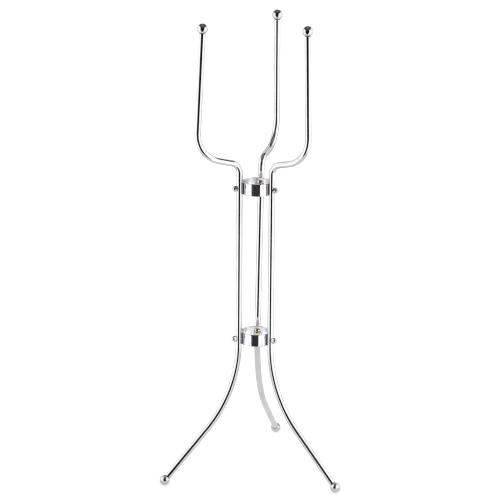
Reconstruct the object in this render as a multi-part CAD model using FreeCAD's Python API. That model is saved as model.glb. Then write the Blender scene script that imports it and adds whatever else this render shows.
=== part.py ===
"""Three-legged floor stand for a wine bucket: three bent rods held together by two short tube rings.

Millimetres. The origin is on the stand's upright axis at floor level, +Z is up and the back rod
stands towards +Y. The left rod is towards -X and -Y, the right rod towards +X and -Y.
"""
import FreeCAD, Part
import math
import os

# Overall
STAND_HEIGHT = 721.0
ROD_NAMES = ("back", "left", "right")
ROD_AZIMUTH = {"back": 90.0, "left": 210.0, "right": 330.0}

# Rods: 3/8 inch round bar
ROD_DIAMETER = 9.5
LEG_BEND_RADIUS = 183.0
SHOULDER_START_HEIGHT = 484.5
SHOULDER_BEND_RADIUS = 17.0
SHOULDER_ANGLE = 76.5       # between the shoulder and the upright
SHOULDER_LENGTH = 21.0      # straight part between the two upper bends
ARM_BEND_RADIUS = 45.0

# Small differences between the three rods, in degrees: how far each leg is bent from its upright, how
# far each leg and arm is turned out of its rod's radial plane, and how far each arm leans in over the
# cradle. The back rod's holes sit a little round the rings, one way at the lower ring and the other
# way at the upper one, so its upright stands askew. Each arm is also cut short by some millimetres.
LEG_ANGLE = {"back": 48.5, "left": 46.4, "right": 46.4}
LEG_TURN = {"back": -6.5, "left": 8.0, "right": 0.0}
ARM_TURN = {"back": -11.0, "left": 0.0, "right": 0.0}
ARM_LEAN = {"back": 3.4, "left": 2.7, "right": 1.5}
HOLE_TURN = {"back": 3.4, "left": 0.0, "right": 0.0}
ARM_SHORTENING = {"back": 0.0, "left": 3.8, "right": 2.3}

# Balls on the rod ends, each with a short neck and screwed on to a turned spigot
BALL_DIAMETER = 16.0
NECK_DIAMETER = 8.4
NECK_LENGTH = 0.5
ROD_END_CHAMFER = 0.4
SPIGOT_DIAMETER = 5.9
SPIGOT_LENGTH = 7.0
SPIGOT_CHAMFER = 0.6
BALL_HOLE_DIAMETER = 6.0
BALL_HOLE_DEPTH = 8.0
DRILL_POINT_HEIGHT = 1.8

# Rings
RING_OUTER_DIAMETER = 48.0
RING_WALL = 1.5
RING_HEIGHT = 19.0
RING_EDGE_ROUND = 0.5
RING_HEIGHTS = {"upper": 460.5, "lower": 220.0}     # middle of each ring
CROSS_HOLE_DIAMETER = 5.3

# Screws, M5 with a truss head
SCREW_DIAMETER = 4.9
SCREW_LENGTH = 16.0
SCREW_TIP_CHAMFER = 0.6
HEAD_DIAMETER = 10.5
HEAD_HEIGHT = 2.9
HEAD_EDGE_HEIGHT = 0.6
RECESS_LENGTH = 4.8
RECESS_WIDTH = 1.2
RECESS_DEPTH = 2.0

# Low cap nuts, M5
NUT_ACROSS_FLATS = 8.0
NUT_HEX_HEIGHT = 3.8
NUT_HEIGHT = 7.0
NUT_DOME_DIAMETER = 7.4
NUT_BORE_DIAMETER = 5.0
NUT_BORE_DEPTH = 5.2
NUT_CORNER_SLOPE = 30.0

ROD_RADIUS = ROD_DIAMETER / 2
BALL_RADIUS = BALL_DIAMETER / 2
NECK_RADIUS = NECK_DIAMETER / 2
# from a ball's centre to the end of its neck, on which the rod's end sits
SEAT_DISTANCE = math.sqrt(BALL_RADIUS ** 2 - NECK_RADIUS ** 2) + NECK_LENGTH
RING_INNER_RADIUS = RING_OUTER_DIAMETER / 2 - RING_WALL
ROD_CIRCLE_RADIUS = RING_OUTER_DIAMETER / 2 + ROD_RADIUS
LEG_BEND_START_HEIGHT = RING_HEIGHTS["lower"] - RING_HEIGHT / 2
UP = FreeCAD.Vector(0, 0, 1)


def outward(azimuth):
    """Horizontal unit vector at an azimuth in degrees."""
    angle = math.radians(azimuth)
    return FreeCAD.Vector(math.cos(angle), math.sin(angle), 0)


def straight_bar(start, direction, length):
    """One straight run of the rod, and the point where it ends."""
    solid = Part.makeCylinder(ROD_RADIUS, length, start, direction)
    return solid, start + direction * length


def bent_bar(start, direction, towards, radius, angle):
    """One bend of the rod from its start direction towards another, with its end and new direction."""
    centre = start + towards * radius
    axis = direction.cross(towards)
    section = Part.Face(Part.Wire(Part.makeCircle(ROD_RADIUS, start, direction)))
    solid = section.revolve(centre, axis, angle)
    turn = math.radians(angle)
    end = centre - towards * (radius * math.cos(turn)) + direction * (radius * math.sin(turn))
    new_direction = direction * math.cos(turn) + towards * math.sin(turn)
    return solid, end, new_direction


def spigot(start, direction):
    """Turned-down rod end that holds a ball."""
    radius = SPIGOT_DIAMETER / 2
    plain_length = SPIGOT_LENGTH - SPIGOT_CHAMFER
    stem = Part.makeCylinder(radius, plain_length, start, direction)
    tip_start = start + direction * plain_length
    tip = Part.makeCone(radius, radius - SPIGOT_CHAMFER, SPIGOT_CHAMFER, tip_start, direction)
    return stem.fuse(tip)


def rod_end(start, direction, length):
    """Last straight run of a rod with its chamfered end and its spigot."""
    plain, plain_end = straight_bar(start, direction, length - ROD_END_CHAMFER)
    end_radius = ROD_RADIUS - ROD_END_CHAMFER
    chamfer = Part.makeCone(ROD_RADIUS, end_radius, ROD_END_CHAMFER, plain_end, direction)
    return [plain, chamfer, spigot(start + direction * length, direction)]


def screw_direction(name, level):
    """Direction in which one rod's screw points at one ring."""
    turn = HOLE_TURN[name] if level == "lower" else -HOLE_TURN[name]
    return outward(ROD_AZIMUTH[name] + turn)


def upright_line(name):
    """Centre of a rod's upright at the lower ring, and its direction upwards."""
    low, high = (screw_direction(name, level) * ROD_CIRCLE_RADIUS + UP * RING_HEIGHTS[level]
                 for level in ("lower", "upper"))
    return low, (high - low).normalize()


def upright_point(name, height):
    """Point at a height on the centre line of a rod's upright."""
    point, along = upright_line(name)
    return point + along * ((height - point.z) / along.z)


def turned_out(name, turn, along):
    """Unit vector that points away from the stand at a rod, square to its upright."""
    out = outward(ROD_AZIMUTH[name] + turn)
    return (out - along * out.dot(along)).normalize()


def leg(name):
    """Bend, splayed leg and spigot under the lower ring, and the foot ball's centre and direction."""
    down = upright_line(name)[1] * -1
    out = turned_out(name, LEG_TURN[name], down)
    start = upright_point(name, LEG_BEND_START_HEIGHT)
    bend, bend_end, along = bent_bar(start, down, out, LEG_BEND_RADIUS, LEG_ANGLE[name])
    to_ball = (bend_end.z - BALL_RADIUS) / -along.z
    end = rod_end(bend_end, along, to_ball - SEAT_DISTANCE)
    ball_centre = bend_end + along * to_ball
    return [bend] + end, ball_centre, along


def arm(name):
    """Both upper bends, the arm and its spigot, and the top ball's centre and direction."""
    up = upright_line(name)[1]
    out = turned_out(name, ARM_TURN[name], up)
    start = upright_point(name, SHOULDER_START_HEIGHT)
    low_bend, low_end, along = bent_bar(start, up, out, SHOULDER_BEND_RADIUS, SHOULDER_ANGLE)
    shoulder, shoulder_end = straight_bar(low_end, along, SHOULDER_LENGTH)
    shoulder_turn = math.radians(SHOULDER_ANGLE)
    towards = up * math.sin(shoulder_turn) - out * math.cos(shoulder_turn)
    arm_angle = SHOULDER_ANGLE + ARM_LEAN[name]
    high_bend, high_end, along = bent_bar(shoulder_end, along, towards, ARM_BEND_RADIUS, arm_angle)
    ball_height = STAND_HEIGHT - ARM_SHORTENING[name] - BALL_RADIUS
    to_ball = (ball_height - high_end.z) / along.z
    end = rod_end(high_end, along, to_ball - SEAT_DISTANCE)
    ball_centre = high_end + along * to_ball
    return [low_bend, shoulder, high_bend] + end, ball_centre, along


def cross_hole(name, level, start_radius, length):
    """Cylinder of a screw's clearance hole, pointing outwards."""
    out = screw_direction(name, level)
    start = out * start_radius + UP * RING_HEIGHTS[level]
    return Part.makeCylinder(CROSS_HOLE_DIAMETER / 2, length, start, out)


def rod(name):
    """One bent rod from foot spigot to arm spigot, drilled for both of its screws."""
    low = upright_point(name, LEG_BEND_START_HEIGHT)
    high = upright_point(name, SHOULDER_START_HEIGHT)
    upright, _ = straight_bar(low, upright_line(name)[1], (high - low).Length)
    bar = upright.multiFuse(leg(name)[0] + arm(name)[0]).removeSplitter()
    hole_start = ROD_CIRCLE_RADIUS - ROD_DIAMETER
    for level in RING_HEIGHTS:
        bar = bar.cut(cross_hole(name, level, hole_start, 2 * ROD_DIAMETER))
    return bar


def ball(centre, along):
    """Ball with a neck that seats on the rod's end and a blind hole for its spigot."""
    neck_angle = -math.degrees(math.acos(NECK_RADIUS / BALL_RADIUS))
    sphere = Part.makeSphere(BALL_RADIUS, centre, along, neck_angle, 90, 360)
    seat = centre - along * SEAT_DISTANCE
    body = sphere.fuse(Part.makeCylinder(NECK_RADIUS, NECK_LENGTH, seat, along))
    hole_radius = BALL_HOLE_DIAMETER / 2
    hole = Part.makeCylinder(hole_radius, BALL_HOLE_DEPTH, seat, along)
    point_start = seat + along * BALL_HOLE_DEPTH
    point = Part.makeCone(hole_radius, 0, DRILL_POINT_HEIGHT, point_start, along)
    return body.cut(hole.fuse(point))


def ring(level):
    """Short tube with rounded rims and one cross hole for each rod."""
    base = UP * (RING_HEIGHTS[level] - RING_HEIGHT / 2)
    outside = Part.makeCylinder(RING_OUTER_DIAMETER / 2, RING_HEIGHT, base)
    inside = Part.makeCylinder(RING_INNER_RADIUS, RING_HEIGHT, base)
    tube = outside.cut(inside)
    rims = [edge for edge in tube.Edges if isinstance(edge.Curve, Part.Circle)]
    tube = tube.makeFillet(RING_EDGE_ROUND, rims)
    for name in ROD_NAMES:
        tube = tube.cut(cross_hole(name, level, RING_INNER_RADIUS - RING_WALL, 3 * RING_WALL))
    return tube


def screw():
    """M5 screw along +Z: underside of the truss head at the origin, shank upwards."""
    radius = HEAD_DIAMETER / 2
    shank_radius = SCREW_DIAMETER / 2
    dome_height = HEAD_HEIGHT - HEAD_EDGE_HEIGHT
    dome_sphere = (radius ** 2 + dome_height ** 2) / (2 * dome_height)
    mid_angle = math.asin(radius / dome_sphere) / 2
    dome_centre = -HEAD_HEIGHT + dome_sphere
    mid = FreeCAD.Vector(dome_sphere * math.sin(mid_angle), 0,
                         dome_centre - dome_sphere * math.cos(mid_angle))
    top = FreeCAD.Vector(0, 0, -HEAD_HEIGHT)
    rim = FreeCAD.Vector(radius, 0, -HEAD_EDGE_HEIGHT)
    corners = [rim, FreeCAD.Vector(radius, 0, 0), FreeCAD.Vector(shank_radius, 0, 0),
               FreeCAD.Vector(shank_radius, 0, SCREW_LENGTH - SCREW_TIP_CHAMFER),
               FreeCAD.Vector(shank_radius - SCREW_TIP_CHAMFER, 0, SCREW_LENGTH),
               FreeCAD.Vector(0, 0, SCREW_LENGTH), top]
    edges = [Part.Arc(top, mid, rim).toShape()]
    edges += [Part.makeLine(a, b) for a, b in zip(corners[:-1], corners[1:])]
    body = Part.Face(Part.Wire(edges)).revolve(FreeCAD.Vector(), UP, 360)
    slot = Part.makeBox(RECESS_LENGTH, RECESS_WIDTH, RECESS_DEPTH,
                        FreeCAD.Vector(-RECESS_LENGTH / 2, -RECESS_WIDTH / 2, -HEAD_HEIGHT))
    taper = Part.makeCone(RECESS_LENGTH / 2, RECESS_WIDTH / 2, RECESS_DEPTH, top)
    cross = slot.fuse(slot.rotated(FreeCAD.Vector(), UP, 90)).common(taper)
    return body.cut(cross)


def cap_nut():
    """Low M5 cap nut along +Z: seat at the origin, dome upwards."""
    corner_radius = NUT_ACROSS_FLATS / math.sqrt(3)
    corners = [outward(60 * i) * corner_radius for i in range(7)]
    hexagon = Part.Face(Part.makePolygon(corners)).extrude(UP * NUT_HEX_HEIGHT)
    slope = math.tan(math.radians(NUT_CORNER_SLOPE))
    flat_radius = NUT_ACROSS_FLATS / 2
    envelope_radius = flat_radius + NUT_HEX_HEIGHT / slope
    top_cone = Part.makeCone(envelope_radius, flat_radius, NUT_HEX_HEIGHT)
    seat_cone = Part.makeCone(flat_radius, envelope_radius, NUT_HEX_HEIGHT)
    hexagon = hexagon.common(top_cone).common(seat_cone)
    dome_radius = NUT_DOME_DIAMETER / 2
    dome_base = NUT_HEIGHT - dome_radius
    dome = Part.makeSphere(dome_radius, UP * dome_base, UP, 0, 90, 360)
    skirt = Part.makeCylinder(dome_radius, dome_base)
    bore = Part.makeCylinder(NUT_BORE_DIAMETER / 2, NUT_BORE_DEPTH)
    return hexagon.fuse(skirt).fuse(dome).removeSplitter().cut(bore)


def place_radially(shape, name, radius, level):
    """Copy of a fastener, turned from +Z to point outwards at one rod and one ring."""
    out = screw_direction(name, level)
    place = out * radius + UP * RING_HEIGHTS[level]
    placed = shape.copy()
    placed.Placement = FreeCAD.Placement(place, FreeCAD.Rotation(UP, out))
    return placed


def build():
    """Every piece of the stand by node name."""
    nodes = {}
    for name in ROD_NAMES:
        nodes[f"rod_{name}"] = rod(name)
        _, centre, along = arm(name)
        nodes[f"finial_ball_{name}"] = ball(centre, along)
        _, centre, along = leg(name)
        nodes[f"foot_ball_{name}"] = ball(centre, along)
    head_seat = math.sqrt(RING_INNER_RADIUS ** 2 - (HEAD_DIAMETER / 2) ** 2)
    nut_seat = ROD_CIRCLE_RADIUS + ROD_RADIUS
    for level in RING_HEIGHTS:
        nodes[f"ring_{level}"] = ring(level)
        for name in ROD_NAMES:
            nodes[f"screw_{level}_{name}"] = place_radially(screw(), name, head_seat, level)
            nodes[f"cap_nut_{level}_{name}"] = place_radially(cap_nut(), name, nut_seat, level)
    return nodes


os.makedirs("parts", exist_ok=True)
for node, shape in build().items():
    shape.exportStep(f"parts/{node}.step")
    print(f"{node}: {shape.ShapeType}, {len(shape.Solids)} solid, {shape.Volume / 1000:.2f} cm3, "
          f"valid {shape.isValid()}")
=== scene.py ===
import math

import bmesh
import bpy
from mathutils import Matrix, Vector

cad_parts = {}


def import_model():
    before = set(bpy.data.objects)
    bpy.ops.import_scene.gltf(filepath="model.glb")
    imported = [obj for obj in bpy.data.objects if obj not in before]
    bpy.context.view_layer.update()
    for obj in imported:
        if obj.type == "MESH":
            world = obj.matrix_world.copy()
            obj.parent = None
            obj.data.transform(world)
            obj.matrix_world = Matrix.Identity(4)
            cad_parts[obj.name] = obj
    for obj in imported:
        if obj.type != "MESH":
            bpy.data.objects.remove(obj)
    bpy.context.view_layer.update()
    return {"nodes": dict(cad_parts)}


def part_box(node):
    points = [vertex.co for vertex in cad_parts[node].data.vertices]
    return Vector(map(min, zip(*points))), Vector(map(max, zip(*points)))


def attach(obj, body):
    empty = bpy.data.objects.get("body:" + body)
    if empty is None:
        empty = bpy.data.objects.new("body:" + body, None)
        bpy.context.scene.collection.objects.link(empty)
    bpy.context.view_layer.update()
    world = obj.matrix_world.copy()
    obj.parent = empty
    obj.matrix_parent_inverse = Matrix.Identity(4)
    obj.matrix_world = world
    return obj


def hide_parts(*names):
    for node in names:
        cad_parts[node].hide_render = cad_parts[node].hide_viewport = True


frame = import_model()

# Looks of a three-legged stand for a wine bucket: three bent chromed rods, held by two tube rings.
# Metres, in the frame's own axes: the upright axis is Z and the back rod stands towards +Y.

UP = Vector((0, 0, 1))
ROD_AZIMUTH = {"back": 90, "left": 210, "right": 330}

# Rods, bent as the CAD rods are: radii and lengths in metres, angles in degrees
ROD_RADIUS = 0.00475
LEG_BEND_RADIUS = 0.183
SHOULDER_START_HEIGHT = 0.4845
SHOULDER_BEND_RADIUS = 0.017
SHOULDER_ANGLE = 76.5
SHOULDER_LENGTH = 0.021
ARM_BEND_RADIUS = 0.045
LEG_ANGLE = {"back": 48.5, "left": 46.4, "right": 46.4}
LEG_TURN = {"back": -6.5, "left": 8.0, "right": 0.0}
ARM_TURN = {"back": -11.0, "left": 0.0, "right": 0.0}
ARM_LEAN = {"back": 3.4, "left": 2.7, "right": 1.5}
# how far a rod's holes are turned round the lower ring, and the other way round the upper one
HOLE_TURN = {"back": 3.4, "left": 0.0, "right": 0.0}
ROD_END_CHAMFER = 0.0004
SPIGOT_RADIUS = 0.00295
SPIGOT_LENGTH = 0.007
SPIGOT_CHAMFER = 0.0006
CROSS_HOLE_RADIUS = 0.00265

# Balls
NECK_RADIUS = 0.0042
NECK_LENGTH = 0.0005
BALL_HOLE_RADIUS = 0.003
BALL_HOLE_DEPTH = 0.008
DRILL_POINT_HEIGHT = 0.0018
NECK_SHADE_FADE = 0.0016              # how far the painted shade of the neck's crevice fades up the ball

# Rings
RING_WALL = 0.0015
RING_EDGE_ROUND = 0.0005

# Mesh fineness: segments round a piece, steps in metres along it, and steps in degrees round a bend
ROD_SEGMENTS = 72
BALL_SEGMENTS = 96
RING_SEGMENTS = 240
HOLE_SEGMENTS = 48
STRAIGHT_STEP = 0.008
HOLE_STEP = 0.0006              # near a rod's holes and on the rings' walls
HOLE_REACH = 0.0042             # how far from a hole's middle the rod is finer
TIGHT_BEND_STEP = 2.5
WIDE_BEND_STEP = 1.0
SPHERE_STEP = 3.0
ROUND_STEPS = 6                 # in a quarter of a ring's rounded rim
MERGE_DISTANCE = 1e-7
SHARP_ANGLE = math.radians(32)

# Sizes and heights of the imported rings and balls
RING_BOX = {level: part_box(f"ring_{level}") for level in ("upper", "lower")}
RING_HEIGHT = {level: (low.z + high.z) / 2 for level, (low, high) in RING_BOX.items()}
RING_RADIUS = RING_BOX["lower"][1].x
LEG_BEND_START_HEIGHT = RING_BOX["lower"][0].z
RING_LENGTH = RING_BOX["lower"][1].z - LEG_BEND_START_HEIGHT
ROD_CIRCLE_RADIUS = RING_RADIUS + ROD_RADIUS
ball_low, ball_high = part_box("foot_ball_back")
BALL_RADIUS = (ball_high.x - ball_low.x) / 2
# from a ball's centre to the end of its neck, on which the rod's end sits
SEAT_DISTANCE = math.sqrt(BALL_RADIUS ** 2 - NECK_RADIUS ** 2) + NECK_LENGTH


# ---- Meshes ----

def outward(azimuth):
    """Horizontal unit vector at an azimuth in degrees."""
    angle = math.radians(azimuth)
    return Vector((math.cos(angle), math.sin(angle), 0))


def across(direction):
    """Any unit vector square to a direction."""
    helper = UP if abs(direction.z) < 0.9 else Vector((1, 0, 0))
    return direction.cross(helper).normalized()


def skin(name, stations, segments, closed=False):
    """Tube through stations (centre, direction, side, radius, distance), with UVs in metres.

    A station of no radius closes the tube's end in a point, and closed joins the last to the first."""
    mesh = bmesh.new()
    layer = mesh.loops.layers.uv.new("UVMap")
    largest = max(station[3] for station in stations)
    rings = []
    for centre, direction, side, radius, _ in stations:
        other = direction.cross(side)
        ring = []
        for k in range(segments):
            angle = 2 * math.pi * k / segments
            point = centre + (side * math.cos(angle) + other * math.sin(angle)) * radius
            ring.append(mesh.verts.new(point))
        rings.append(ring)
    count = len(stations) if closed else len(stations) - 1
    for i in range(count):
        j = (i + 1) % len(stations)
        start, end = stations[i][4], stations[j][4]
        if closed and j == 0:
            end = start + (stations[j][0] - stations[i][0]).length
        for k in range(segments):
            m = (k + 1) % segments
            face = mesh.faces.new((rings[i][k], rings[i][m], rings[j][m], rings[j][k]))
            left, right = (2 * math.pi * largest * n / segments for n in (k, k + 1))
            corners = ((start, left), (start, right), (end, right), (end, left))
            for loop, uv in zip(face.loops, corners):
                loop[layer].uv = uv
    if not closed:
        for ring, station in ((rings[0], stations[0]), (rings[-1], stations[-1])):
            if station[3] > 0:
                mesh.faces.new(ring)
    bmesh.ops.remove_doubles(mesh, verts=mesh.verts, dist=MERGE_DISTANCE)
    bmesh.ops.recalc_face_normals(mesh, faces=mesh.faces)
    return finished(mesh, name)


def mark_sharp(mesh):
    """Shades the edges of a bmesh smooth, except where they are sharp."""
    for edge in mesh.edges:
        edge.smooth = edge.calc_face_angle(0) < SHARP_ANGLE


def finished(mesh, name):
    """Object of a bmesh, shaded smooth except over sharp edges."""
    for face in mesh.faces:
        face.smooth = True
    mark_sharp(mesh)
    data = bpy.data.meshes.new(name)
    mesh.to_mesh(data)
    mesh.free()
    piece = bpy.data.objects.new(name, data)
    bpy.context.scene.collection.objects.link(piece)
    return piece


def revolved(name, origin, axis, profile, segments, closed=False):
    """Body of revolution through (height, radius) points about an axis."""
    side = across(axis)
    distance = 0.0
    previous = Vector(profile[0])
    stations = []
    for height, radius in profile:
        point = Vector((height, radius))
        distance += (point - previous).length
        previous = point
        stations.append((origin + axis * height, axis, side, radius, distance))
    return skin(name, stations, segments, closed)


def drill(piece, start, direction, length):
    """Cuts one round cross hole through a piece."""
    tool_mesh = bmesh.new()
    turned = direction.to_track_quat("Z", "Y").to_matrix().to_4x4()
    place = Matrix.Translation(start + direction * length / 2) @ turned
    bmesh.ops.create_cone(tool_mesh, cap_ends=True, segments=HOLE_SEGMENTS, radius1=CROSS_HOLE_RADIUS,
                          radius2=CROSS_HOLE_RADIUS, depth=length, matrix=place)
    tool = finished(tool_mesh, "drill")
    cut = piece.modifiers.new("cut", "BOOLEAN")
    cut.operation = "DIFFERENCE"
    cut.solver = "EXACT"
    cut.object = tool
    graph = bpy.context.evaluated_depsgraph_get()
    drilled = bmesh.new()
    drilled.from_mesh(piece.evaluated_get(graph).to_mesh())
    piece.modifiers.clear()
    mark_sharp(drilled)
    drilled.to_mesh(piece.data)
    drilled.free()
    bpy.data.objects.remove(tool)


# ---- Rods and balls ----

def straight(route, length):
    """Adds a straight run to a route of (point, direction, side, distance)."""
    point, direction, side, distance = route[-1]
    steps = max(1, round(length / STRAIGHT_STEP))
    for i in range(1, steps + 1):
        done = length * i / steps
        route.append((point + direction * done, direction, side, distance + done))


def bend(route, towards, radius, angle, step):
    """Adds a bend to a route, from its direction towards another."""
    point, direction, side, distance = route[-1]
    centre = point + towards * radius
    axis = direction.cross(towards)
    steps = math.ceil(angle / step)
    for i in range(1, steps + 1):
        turn = math.radians(angle) * i / steps
        rotation = Matrix.Rotation(turn, 3, axis)
        route.append((centre + rotation @ (point - centre), rotation @ direction, rotation @ side,
                      distance + radius * turn))


def screw_direction(name, level):
    """Direction in which one rod's screw points at one ring."""
    turn = HOLE_TURN[name] if level == "lower" else -HOLE_TURN[name]
    return outward(ROD_AZIMUTH[name] + turn)


def upright_start(name):
    """Where a rod's upright starts at the lower ring's lower edge, its direction and its side."""
    low, high = (screw_direction(name, level) * ROD_CIRCLE_RADIUS + UP * RING_HEIGHT[level]
                 for level in ("lower", "upper"))
    up = (high - low).normalized()
    side = up.cross(outward(ROD_AZIMUTH[name])).normalized()
    return low - up * ((low.z - LEG_BEND_START_HEIGHT) / up.z), up, side


def turned_out(name, turn, along):
    """Unit vector that points away from the stand at a rod, square to its upright."""
    out = outward(ROD_AZIMUTH[name] + turn)
    return (out - along * out.dot(along)).normalized()


def leg_route(name):
    """Route from the lower ring's lower edge down to the end of the rod, and the foot ball's centre."""
    start, up, side = upright_start(name)
    route = [(start, -up, side, 0.0)]
    bend(route, turned_out(name, LEG_TURN[name], up), LEG_BEND_RADIUS, LEG_ANGLE[name], WIDE_BEND_STEP)
    point, direction = route[-1][:2]
    to_ball = (point.z - BALL_RADIUS) / -direction.z
    straight(route, to_ball - SEAT_DISTANCE)
    return route, point + direction * to_ball


def arm_route(name):
    """Route from the lower ring's lower edge up to the end of the rod, and the top ball's centre."""
    start, up, side = upright_start(name)
    out = turned_out(name, ARM_TURN[name], up)
    route = [(start, up, side, 0.0)]
    for height in sorted(RING_HEIGHT.values()):
        straight(route, (height - HOLE_REACH - route[-1][0].z) / up.z)
        for _ in range(round(2 * HOLE_REACH / HOLE_STEP)):
            straight(route, HOLE_STEP)
    straight(route, (SHOULDER_START_HEIGHT - route[-1][0].z) / up.z)
    bend(route, out, SHOULDER_BEND_RADIUS, SHOULDER_ANGLE, TIGHT_BEND_STEP)
    straight(route, SHOULDER_LENGTH)
    shoulder = math.radians(SHOULDER_ANGLE)
    towards = up * math.sin(shoulder) - out * math.cos(shoulder)
    bend(route, towards, ARM_BEND_RADIUS, SHOULDER_ANGLE + ARM_LEAN[name], TIGHT_BEND_STEP)
    point, direction = route[-1][:2]
    ball_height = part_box(f"finial_ball_{name}")[1].z - BALL_RADIUS
    to_ball = (ball_height - point.z) / direction.z
    straight(route, to_ball - SEAT_DISTANCE)
    return route, point + direction * to_ball


def rod_end(route):
    """Stations of a route, ending in the rod's chamfer and its spigot."""
    stations = [(point, direction, side, ROD_RADIUS, distance)
                for point, direction, side, distance in route[:-1]]
    end, direction, side, distance = route[-1]
    steps = ((-ROD_END_CHAMFER, ROD_RADIUS), (0, ROD_RADIUS - ROD_END_CHAMFER), (0, SPIGOT_RADIUS),
             (SPIGOT_LENGTH - SPIGOT_CHAMFER, SPIGOT_RADIUS),
             (SPIGOT_LENGTH, SPIGOT_RADIUS - SPIGOT_CHAMFER))
    for ahead, radius in steps:
        stations.append((end + direction * ahead, direction, side, radius, distance + ahead))
    return stations


def rod(name):
    """One bent rod from foot spigot to arm spigot, drilled for its two screws."""
    leg = [(point, -direction, side, radius, -distance)
           for point, direction, side, radius, distance in reversed(rod_end(leg_route(name)[0]))]
    piece = skin(f"bent_rod_{name}", leg[:-1] + rod_end(arm_route(name)[0]), ROD_SEGMENTS)
    for level, height in RING_HEIGHT.items():
        out = screw_direction(name, level)
        drill(piece, out * (RING_RADIUS - ROD_RADIUS) + UP * height, out, 4 * ROD_RADIUS)
    return piece


def ball(name, centre, along):
    """Ball on a short neck, with the blind hole that takes the rod's spigot."""
    radius = BALL_RADIUS
    seat = -SEAT_DISTANCE
    hole_end = seat + BALL_HOLE_DEPTH
    profile = [(hole_end + DRILL_POINT_HEIGHT, 0), (hole_end, BALL_HOLE_RADIUS),
               (seat, BALL_HOLE_RADIUS), (seat, NECK_RADIUS)]
    start_angle = -math.degrees(math.acos(NECK_RADIUS / radius))
    steps = round((90 - start_angle) / SPHERE_STEP)
    for i in range(steps + 1):
        angle = math.radians(start_angle + (90 - start_angle) * i / steps)
        profile.append((radius * math.sin(angle), radius * math.cos(angle) if i < steps else 0))
    piece = revolved(name, centre, along, profile, BALL_SEGMENTS)
    # mask of the painted shade: 1 on the seat and in the hole, fading to 0 over the neck and a little
    # way up the ball
    unbuffed_and_shade = piece.data.attributes.new("unbuffed_and_shade", "FLOAT", "POINT")
    for vertex in piece.data.vertices:
        above_seat = (vertex.co - centre).dot(along) - seat
        unbuffed_and_shade.data[vertex.index].value = min(1, max(0, 1 - above_seat / (NECK_LENGTH + NECK_SHADE_FADE)))
    return piece


def ring(level):
    """Tube ring with rounded rims, drilled for its three screws."""
    outer, inner = RING_RADIUS, RING_RADIUS - RING_WALL
    half, edge = RING_LENGTH / 2, RING_EDGE_ROUND
    corners = ((half - edge, outer - edge, 0), (half - edge, inner + edge, 90),
               (edge - half, inner + edge, 180), (edge - half, outer - edge, 270))
    rows = round((RING_LENGTH - 2 * edge) / HOLE_STEP)
    profile = []
    for height, radius, start in corners:
        for i in range(ROUND_STEPS + 1):
            angle = math.radians(start + 90 * i / ROUND_STEPS)
            profile.append((height + edge * math.sin(angle), radius + edge * math.cos(angle)))
        if start in (90, 270):
            wall = profile[-1][1]
            for i in range(1, rows):
                profile.append((height * (1 - 2 * i / rows), wall))
    centre = UP * RING_HEIGHT[level]
    piece = revolved(f"tube_ring_{level}", centre, UP, profile, RING_SEGMENTS, closed=True)
    for name in ROD_AZIMUTH:
        out = screw_direction(name, level)
        drill(piece, centre + out * (inner - RING_WALL), out, 3 * RING_WALL)
    unbuffed_and_shade = piece.data.attributes.new("unbuffed_and_shade", "FLOAT", "POINT")
    for vertex in piece.data.vertices:
        depth = (outer - vertex.co.xy.length) / RING_WALL
        unbuffed_and_shade.data[vertex.index].value = min(1, max(0, 2 * depth - 1))
    return piece


# ---- Materials ----

CHROME = (0.64, 0.64, 0.645)
CHROME_HAZE = (0.60, 0.60, 0.61)
BALL_CHROME = (0.585, 0.585, 0.575)
BALL_HAZE = (0.53, 0.53, 0.515)
RING_CHROME = (0.635, 0.625, 0.65)
RING_HAZE = (0.60, 0.59, 0.62)
RING_METALLIC = 0.97
NUT_NICKEL = (0.58, 0.58, 0.535)
NUT_HAZE = (0.50, 0.50, 0.45)
SCREW_NICKEL = (0.68, 0.645, 0.54)
SCREW_HAZE = (0.60, 0.565, 0.46)
# where the buffing wheel did not reach in a ring's bore, and painted shade at a ball's neck: colour
# halfway there, colour there, roughness there
BORE = ((0.82, 0.81, 0.84), (0.93, 0.92, 0.95), 0.28)
# painted shade: the crevice where the rod's end meets the ball darkens to near black with an olive
# tint; the higher roughness there is real
NECK_SHADE = ((0.40, 0.40, 0.33), (0.10, 0.10, 0.085), 0.15)

# roughness between the hairlines and in them
ROD_ROUGHNESS = (0.02, 0.07)
BALL_ROUGHNESS = (0.02, 0.06)
RING_ROUGHNESS = (0.02, 0.08)
NICKEL_ROUGHNESS = (0.04, 0.10)     # clear and hazy

# stretch of the hairlines' noise: cells to the metre along a rod or a profile, and round it
ROD_HAIRLINES = (90, 6000, 1)
BALL_HAIRLINES = (6000, 200, 1)
RING_HAIRLINES = (6000, 90, 1)

# scale and detail of each noise
HAZE_NOISE = (60, 3)
HAIRLINE_NOISE = (1, 2)
WAVINESS_NOISE = (45, 1)
NICKEL_HAZE_NOISE = (260, 4)
GRAIN_NOISE = (2600, 3)
MOTTLE_NOISE = (30, 3)

# part of a noise's range over which one look goes over to the other
NOISE_RANGE = (0.35, 0.65)
HAIRLINE_RANGE = (0.45, 0.80)
MOTTLE_GAIN = 1.01                  # how much brighter the bright parts of the mottle are
WAVINESS_DEPTH = 0.000012
HAIRLINE_DEPTH = 0.0000004
GRAIN_DEPTH = 0.000001


def shader(name):
    """New material, its node tree and its principled shader."""
    material = bpy.data.materials.new(name)
    material.use_nodes = True
    tree = material.node_tree
    return material, tree, tree.nodes["Principled BSDF"]


def noise(tree, coordinates, scale, detail, stretch=(1, 1, 1)):
    """Noise over stretched coordinates, as its factor socket."""
    mapping = tree.nodes.new("ShaderNodeMapping")
    mapping.inputs["Scale"].default_value = stretch
    tree.links.new(coordinates, mapping.inputs["Vector"])
    texture = tree.nodes.new("ShaderNodeTexNoise")
    texture.inputs["Scale"].default_value = scale
    texture.inputs["Detail"].default_value = detail
    tree.links.new(mapping.outputs["Vector"], texture.inputs["Vector"])
    return texture.outputs["Fac"]


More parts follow.
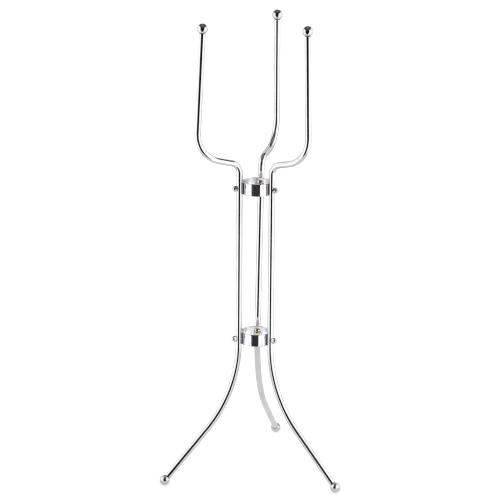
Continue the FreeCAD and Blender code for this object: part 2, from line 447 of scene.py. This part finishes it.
def ramp(tree, factor, low, high, span=NOISE_RANGE):
    """Value or colour that goes from low to high as a factor goes over a span.

    Low may also be a socket."""
    node = tree.nodes.new("ShaderNodeMix")
    spread = tree.nodes.new("ShaderNodeMapRange")
    spread.inputs["From Min"].default_value = span[0]
    spread.inputs["From Max"].default_value = span[1]
    tree.links.new(factor, spread.inputs["Value"])
    kind = "RGBA" if isinstance(high, tuple) else "VALUE"
    node.data_type = "RGBA" if kind == "RGBA" else "FLOAT"
    ends = [socket for socket in node.inputs if socket.type == kind and socket.name in "AB"]
    for end, value in zip(ends, (low, high)):
        if isinstance(value, bpy.types.NodeSocket):
            tree.links.new(value, end)
        else:
            end.default_value = (*value, 1) if kind == "RGBA" else value
    tree.links.new(spread.outputs["Result"], node.inputs["Factor"])
    return [socket for socket in node.outputs if socket.type == kind][0]


def bump(tree, height, distance, normal=None):
    """Bump of a given depth in metres, over an earlier bump if there is one."""
    node = tree.nodes.new("ShaderNodeBump")
    node.inputs["Strength"].default_value = 1.0
    node.inputs["Distance"].default_value = distance
    tree.links.new(height, node.inputs["Height"])
    if normal:
        tree.links.new(normal, node.inputs["Normal"])
    return node.outputs["Normal"]


def plated(name, colour, haze_colour, roughnesses, hairline_stretch, unpolished_and_shade=None, metallic=1.0):
    """Polished plating: thin haze, faint hairlines and a slight waviness of the metal under it.

    Where the piece's "unbuffed_and_shade" attribute rises to 1, the plating goes over to another look:
    a ring's unbuffed bore, and painted shade at a ball's neck."""
    material, tree, principled = shader(name)
    coordinates = tree.nodes.new("ShaderNodeTexCoord")
    haze = noise(tree, coordinates.outputs["Object"], *HAZE_NOISE)
    hairlines = noise(tree, coordinates.outputs["UV"], *HAIRLINE_NOISE, hairline_stretch)
    waviness = noise(tree, coordinates.outputs["Object"], *WAVINESS_NOISE)
    base = ramp(tree, haze, colour, haze_colour)
    roughness = ramp(tree, hairlines, *roughnesses, HAIRLINE_RANGE)
    if unpolished_and_shade:
        halfway_colour, full_colour, dull = unpolished_and_shade
        unbuffed_and_shade = tree.nodes.new("ShaderNodeAttribute")
        unbuffed_and_shade.attribute_name = "unbuffed_and_shade"
        amount = unbuffed_and_shade.outputs["Fac"]
        # at a ball's neck these colours are painted shade; in a ring's bore they are the bore's own
        # colour
        base = ramp(tree, amount, base, halfway_colour, (0, 0.5))
        base = ramp(tree, amount, base, full_colour, (0.5, 1))
        roughness = ramp(tree, amount, roughness, dull, (0, 1))
    tree.links.new(base, principled.inputs["Base Color"])
    tree.links.new(roughness, principled.inputs["Roughness"])
    wavy = bump(tree, waviness, WAVINESS_DEPTH)
    tree.links.new(bump(tree, hairlines, HAIRLINE_DEPTH, wavy), principled.inputs["Normal"])
    principled.inputs["Metallic"].default_value = metallic
    return material


def nickel_plate(name, colour, haze_colour):
    """Bright nickel of a fastener, warmer and a little duller than the chrome."""
    material, tree, principled = shader(name)
    coordinates = tree.nodes.new("ShaderNodeTexCoord")
    haze = noise(tree, coordinates.outputs["Object"], *NICKEL_HAZE_NOISE)
    grain = noise(tree, coordinates.outputs["Object"], *GRAIN_NOISE)
    tree.links.new(ramp(tree, haze, colour, haze_colour), principled.inputs["Base Color"])
    tree.links.new(ramp(tree, haze, *NICKEL_ROUGHNESS), principled.inputs["Roughness"])
    tree.links.new(bump(tree, grain, GRAIN_DEPTH), principled.inputs["Normal"])
    principled.inputs["Metallic"].default_value = 1.0
    return material


rod_chrome = plated("rod_chrome_plate", CHROME, CHROME_HAZE, ROD_ROUGHNESS, ROD_HAIRLINES)
# the balls get painted shade at their necks
ball_chrome = plated("ball_chrome_plate", BALL_CHROME, BALL_HAZE, BALL_ROUGHNESS, BALL_HAIRLINES, NECK_SHADE)
ring_chrome = plated("ring_chrome_plate", RING_CHROME, RING_HAZE, RING_ROUGHNESS, RING_HAIRLINES, BORE,
                     RING_METALLIC)
nut_nickel = nickel_plate("cap_nut_nickel_plate", NUT_NICKEL, NUT_HAZE)
screw_nickel = nickel_plate("screw_nickel_plate", SCREW_NICKEL, SCREW_HAZE)


# ---- Pieces ----

def add(piece, node, material):
    """Makes a piece stand for its CAD node."""
    piece.data.materials.append(material)
    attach(piece, "root")
    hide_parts(node)


for name in ROD_AZIMUTH:
    add(rod(name), f"rod_{name}", rod_chrome)
    route, centre = arm_route(name)
    add(ball(f"top_ball_{name}", centre, route[-1][1]),
        f"finial_ball_{name}", ball_chrome)
    route, centre = leg_route(name)
    add(ball(f"floor_ball_{name}", centre, route[-1][1]),
        f"foot_ball_{name}", ball_chrome)
for level in RING_HEIGHT:
    add(ring(level), f"ring_{level}", ring_chrome)

for node, piece in frame["nodes"].items():
    if node.startswith(("screw_", "cap_nut_")):
        piece.data.materials.clear()
        piece.data.materials.append(screw_nickel if node.startswith("screw_") else nut_nickel)


# ---- Studio ----

# The camera looks from the front, and the tent is turned with it: angles in degrees, lens in mm
CAMERA_AZIMUTH = 8.44
CAMERA_DISTANCE = 2.9658
CAMERA_HEIGHT = 1.1969
AIM_SIDE = -0.01024
AIM_HEIGHT = 0.36016
CAMERA_ROLL = 0.43
CAMERA_LENS = 143.7
CLIP_END = 100.0
PIXEL_FILTER_WIDTH = 1.2

# Light tent: distances from the stand's axis, and edges as (side, height) points
FLOOR_REACH = 40.0
TENT_HALF_WIDTH = 0.50
TENT_FRONT = 0.48
TENT_BACK = 0.50
TENT_HEIGHT = 1.05
BRIGHT_WALL_END = 0.28          # how far behind the stand the side walls are lit
DIM_HEIGHT = 0.45               # the rear walls are brighter above it
LEFT_EDGE = ((-0.31, 0), (-0.44, 0.36), (-0.50, 0.66), (-0.50, TENT_HEIGHT))    # of the front opening
RIGHT_EDGE = ((0.16, 0), (0.19, 0.36), (0.33, 0.70), (0.33, TENT_HEIGHT))
CARD_EDGE = -0.22               # inner side of the grey card beside the left flap
BACK_OPENING = (-0.20, 0.14)    # its left and right side
BACK_OPENING_HEIGHT = 0.60

# Colours of the tent's floor and the light table, and lights of the tent and the room
TENT_FLOOR_COLOUR = 0.86
FLOOR_COLOUR = 0.32
FLOOR_GLOW = 0.68
ROOM_LIGHT = 1.30
WALL_LIGHT = 1.6
DIM_LIGHT = 0.62
REAR_LIGHT = 0.95
CARD_LIGHT = 0.055
DARK_ROOM = 0.012
CEILING = 0.12
ZENITH = 0.31
# light over the dark room, by the upward part of the direction: 0.5 is 30 degrees up, 1 is overhead
SKY_STOPS = ((0.5, DARK_ROOM), (0.75, CEILING), (0.92, CEILING), (0.99, ZENITH))

studio_turn = Matrix.Rotation(math.radians(CAMERA_AZIMUTH), 4, "Z")


def panel(name, corners, material):
    """Flat panel of the studio through its corners, turned to face the camera."""
    data = bpy.data.meshes.new(name)
    data.from_pydata([studio_turn @ Vector(corner) for corner in corners], [], [range(len(corners))])
    data.materials.append(material)
    item = bpy.data.objects.new(name, data)
    bpy.context.scene.collection.objects.link(item)
    return item


def glow(name, strength):
    """Even white light."""
    material = bpy.data.materials.new(name)
    material.use_nodes = True
    tree = material.node_tree
    tree.nodes.remove(tree.nodes["Principled BSDF"])
    light = tree.nodes.new("ShaderNodeEmission")
    light.inputs["Strength"].default_value = strength
    tree.links.new(light.outputs["Emission"], tree.nodes["Material Output"].inputs["Surface"])
    return material


def screen(name, corners, material):
    """Panel of the tent, seen only in the metal's reflections."""
    item = panel(name, corners, material)
    item.visible_camera = False
    item.visible_diffuse = False
    item.visible_shadow = False


def wall(name, start, end, material, low=0.0, high=TENT_HEIGHT):
    """Upright tent wall over a line on the floor."""
    screen(name, [(*start, low), (*end, low), (*end, high), (*start, high)], material)


def table(name, colour, glow_strength):
    """Matt white light table with a faint mottle."""
    material, tree, principled = shader(name)
    coordinates = tree.nodes.new("ShaderNodeTexCoord")
    mottle = noise(tree, coordinates.outputs["Object"], *MOTTLE_NOISE)
    base = ramp(tree, mottle, (colour,) * 3, (colour * MOTTLE_GAIN,) * 3)
    tree.links.new(base, principled.inputs["Base Color"])
    principled.inputs["Roughness"].default_value = 1.0
    principled.inputs["Specular IOR Level"].default_value = 0.0
    principled.inputs["Emission Color"].default_value = (1, 1, 1, 1)
    principled.inputs["Emission Strength"].default_value = glow_strength
    return material


def rectangle(left, right, front, back):
    """Corners of a rectangle on the floor."""
    return [(left, front, 0), (right, front, 0), (right, back, 0), (left, back, 0)]


def tent():
    """Floor for the camera, and the light tent that the metal reflects."""
    width, front, back, lit = TENT_HALF_WIDTH, -TENT_FRONT, TENT_BACK, BRIGHT_WALL_END
    opening_left, opening_right = BACK_OPENING
    floor = panel("floor", rectangle(-FLOOR_REACH, FLOOR_REACH, -FLOOR_REACH, FLOOR_REACH),
                  table("light_table", FLOOR_COLOUR, FLOOR_GLOW))
    floor.visible_glossy = False
    screen("tent_floor", rectangle(-width, width, front, back),
           table("tent_floor", TENT_FLOOR_COLOUR, 0))
    bright = glow("tent_wall_light", WALL_LIGHT)
    dim = glow("tent_dim_light", DIM_LIGHT)
    rear = glow("tent_rear_light", REAR_LIGHT)
    wall("tent_left", (-width, front), (-width, lit), bright)
    wall("tent_right", (width, front), (width, lit), bright)
    for name, start, end in (("left_rear", (-width, lit), (-width, back)),
                             ("right_rear", (width, lit), (width, back)),
                             ("back_left", (-width, back), (opening_left, back)),
                             ("back_right", (opening_right, back), (width, back))):
        wall(f"tent_{name}_low", start, end, dim, high=DIM_HEIGHT)
        wall(f"tent_{name}_high", start, end, rear, low=DIM_HEIGHT)
    wall("tent_back_top", (opening_left, back), (opening_right, back), rear, low=BACK_OPENING_HEIGHT)
    left_edge = [(x, front, z) for x, z in LEFT_EDGE]
    right_edge = [(x, front, z) for x, z in RIGHT_EDGE]
    screen("left_flap", [(-width, front, 0)] + left_edge + [(-width, front, TENT_HEIGHT)], bright)
    screen("right_flap", [(width, front, 0)] + right_edge + [(width, front, TENT_HEIGHT)], bright)
    screen("grey_card", left_edge + [(CARD_EDGE, front, TENT_HEIGHT), (CARD_EDGE, front, 0)],
           glow("grey_card", CARD_LIGHT))


def world():
    """White room for the floor and the camera, and a dark studio round the tent in reflections."""
    made = bpy.data.worlds.new("studio")
    bpy.context.scene.world = made
    made.use_nodes = True
    tree = made.node_tree
    tree.nodes.clear()
    white = tree.nodes.new("ShaderNodeBackground")
    white.inputs["Strength"].default_value = ROOM_LIGHT
    white.inputs["Color"].default_value = (1, 1, 1, 1)
    coordinates = tree.nodes.new("ShaderNodeTexCoord")
    split = tree.nodes.new("ShaderNodeSeparateXYZ")
    tree.links.new(coordinates.outputs["Generated"], split.inputs["Vector"])
    colours = tree.nodes.new("ShaderNodeValToRGB")
    for i, (height, value) in enumerate(SKY_STOPS):
        stop = colours.color_ramp.elements[i] if i < 2 else colours.color_ramp.elements.new(height)
        stop.position = height
        stop.color = (value, value, value, 1)
    tree.links.new(split.outputs["Z"], colours.inputs["Fac"])
    studio = tree.nodes.new("ShaderNodeBackground")
    tree.links.new(colours.outputs["Color"], studio.inputs["Color"])
    path = tree.nodes.new("ShaderNodeLightPath")
    mix = tree.nodes.new("ShaderNodeMixShader")
    tree.links.new(path.outputs["Is Glossy Ray"], mix.inputs["Fac"])
    tree.links.new(white.outputs["Background"], mix.inputs[1])
    tree.links.new(studio.outputs["Background"], mix.inputs[2])
    output = tree.nodes.new("ShaderNodeOutputWorld")
    tree.links.new(mix.outputs["Shader"], output.inputs["Surface"])


def camera():
    """Camera at the view of the stand from the front, a little above it."""
    data = bpy.data.cameras.new("camera")
    data.lens = CAMERA_LENS
    data.clip_end = CLIP_END
    item = bpy.data.objects.new("camera", data)
    bpy.context.scene.collection.objects.link(item)
    place = studio_turn @ Vector((0, -CAMERA_DISTANCE, CAMERA_HEIGHT))
    aim = studio_turn @ Vector((AIM_SIDE, 0, AIM_HEIGHT))
    facing = (aim - place).to_track_quat("-Z", "Y").to_matrix().to_4x4()
    roll = Matrix.Rotation(math.radians(CAMERA_ROLL), 4, "Z")
    item.matrix_world = Matrix.Translation(place) @ facing @ roll
    bpy.context.scene.camera = item


tent()
world()
camera()
bpy.context.scene.view_settings.view_transform = "Standard"
bpy.context.scene.cycles.filter_width = PIXEL_FILTER_WIDTH
